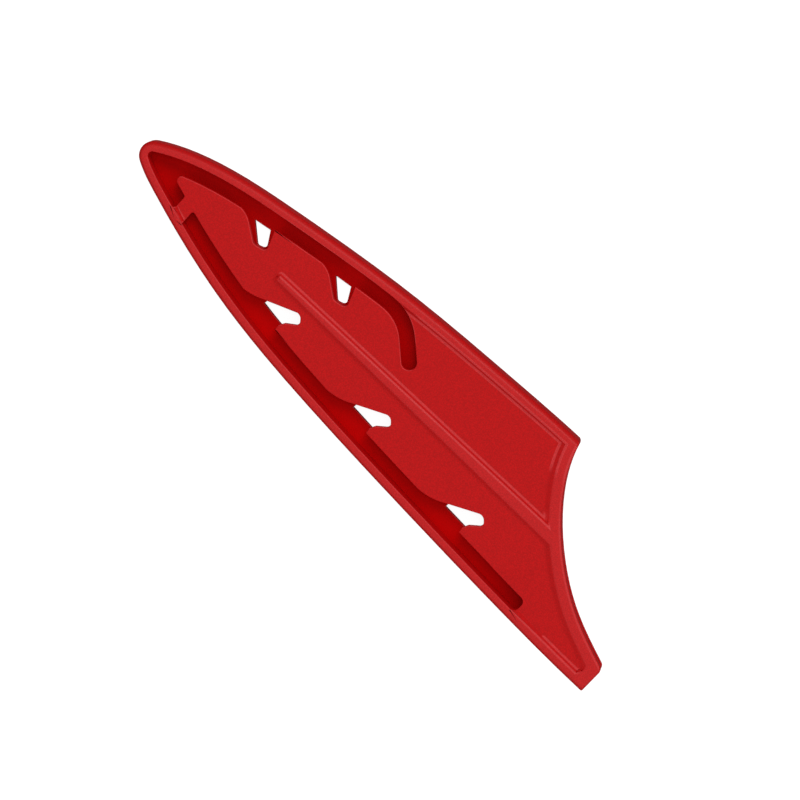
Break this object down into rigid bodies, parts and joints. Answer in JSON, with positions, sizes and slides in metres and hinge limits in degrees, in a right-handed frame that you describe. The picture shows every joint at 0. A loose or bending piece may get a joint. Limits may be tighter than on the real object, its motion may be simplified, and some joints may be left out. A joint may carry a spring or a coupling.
{
  "type": "knife blade guard",
  "caption": "Flat plastic guard for a chef's knife blade, with a slanted open mouth, a sunk slotted front plate, a long rib and drain holes in the back.",
  "frame": {"origin": "middle of the guard's length and height, on the flat back face that it lies on", "axes": "+X from the tip to the mouth and the spur, +Y from the edge of the blade to its spine, +Z from the back to the front face"},
  "size_m": [0.2162, 0.0582, 0.007],
  "materials": {
    "front_plastic": "fine matte texture with smoother rims",
    "back_plastic": "fine matte texture"
  },
  "bodies": {
    "root": {"front_shell": "front_plastic", "back_shell": "back_plastic"}
  },
  "joints": []
}
